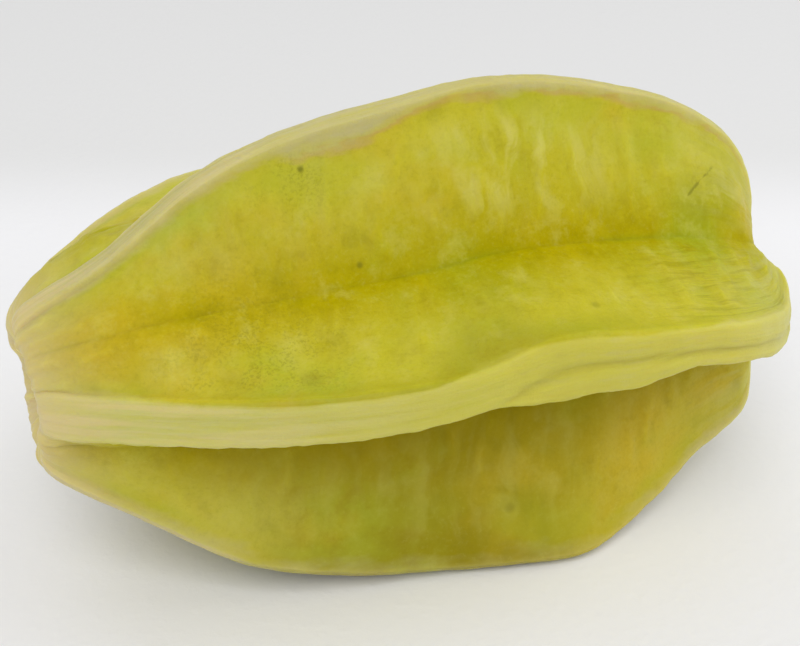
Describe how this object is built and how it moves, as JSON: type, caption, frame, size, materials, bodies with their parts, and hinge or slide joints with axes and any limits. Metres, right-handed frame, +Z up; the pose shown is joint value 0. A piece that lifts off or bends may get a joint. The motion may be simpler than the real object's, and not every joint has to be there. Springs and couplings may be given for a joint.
{
  "type": "star fruit",
  "caption": "Whole ripening star fruit lying on its ribs: a tapered body with deep rounded grooves, flat pale crests, a puckered blossom tip and a hollow stem end.",
  "frame": {"origin": "on the surface the fruit lies on, under the middle of its box", "axes": "+X along the fruit from the blossom tip to the stem end, -Y the front rib's side, +Z up"},
  "size_m": [0.116, 0.067, 0.0689],
  "materials": {
    "skin": "thin waxy fruit skin, yellow-green and softly shiny, paler along the crests, slightly translucent"
  },
  "bodies": {
    "root": {"star_fruit": "skin"}
  },
  "joints": []
}
